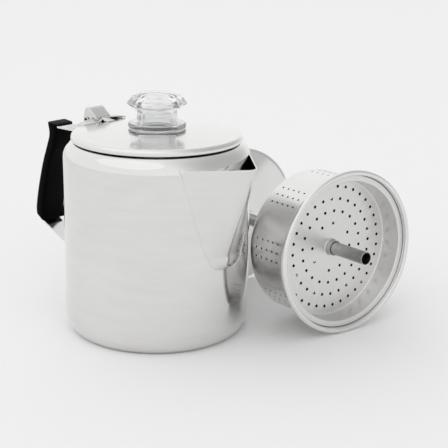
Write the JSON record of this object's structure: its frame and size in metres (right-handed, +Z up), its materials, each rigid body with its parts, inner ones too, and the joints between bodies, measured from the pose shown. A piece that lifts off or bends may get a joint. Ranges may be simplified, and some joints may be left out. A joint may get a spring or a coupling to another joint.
{
  "type": "stove-top coffee percolator",
  "caption": "Stainless stove-top coffee percolator: pot with welded spout and sleeved strap handle, hinged lid with clear knob, and its basket, spreader, tube and foot lying beside it.",
  "frame": {"origin": "centre of the pot's flat underside", "axes": "+X from the pot's axis through the spout, handle at -X, +Z up along the pot's axis"},
  "size_m": [0.2577, 0.2388, 0.1749],
  "materials": {
    "steel_pot": "polished",
    "steel_spout": "polished",
    "steel_strap": "polished",
    "steel_hinge": "satin",
    "steel_pin": "polished",
    "steel_lid": "polished",
    "steel_hood": "satin",
    "steel_leaf": "satin",
    "steel_tube": "polished",
    "steel_foot": "polished",
    "steel_ferrule": "satin",
    "steel_stop": "satin",
    "steel_basket": "satin",
    "steel_spreader": "satin",
    "sleeve_rubber": "matte",
    "clear_resin": "clear, polished"
  },
  "bodies": {
    "pot": {"pot_body": "steel_pot", "spout": "steel_spout", "handle_strap": "steel_strap", "handle_sleeve": "sleeve_rubber", "hinge_bracket": "steel_hinge", "hinge_pin": "steel_pin"},
    "lid": {"lid_shell": "steel_lid", "hinge_hood": "steel_hood", "hinge_leaf": "steel_leaf"},
    "knob": {"knob": "clear_resin"},
    "pump": {"pump_tube": "steel_tube", "pump_foot": "steel_foot", "tube_ferrule": "steel_ferrule", "basket_stop": "steel_stop"},
    "basket": {"basket_can": "steel_basket"},
    "spreader": {"spreader": "steel_spreader"}
  },
  "joints": [
    {"name": "lid_hinge", "type": "hinge", "parent": "pot", "child": "lid", "pos_m": [-0.065, 0, 0.1476], "axis": [0, -1, 0], "range_deg": [0, 115]},
    {"name": "knob_turn", "type": "hinge", "parent": "lid", "child": "knob", "pos_m": [0, 0, 0.15], "axis": [0, 0, 1], "range_deg": [0, 90]},
    {"name": "pump_lift", "type": "slide", "parent": "pot", "child": "pump", "axis": [0, 0, 1], "range_m": [0, 0.2]},
    {"name": "basket_slide", "type": "slide", "parent": "pump", "child": "basket", "axis": [0.9653, -0.2587, 0.0355], "range_m": [0, 0.075]},
    {"name": "spreader_slide", "type": "slide", "parent": "basket", "child": "spreader", "axis": [0.9653, -0.2587, 0.0355], "range_m": [0, 0.045]}
  ]
}
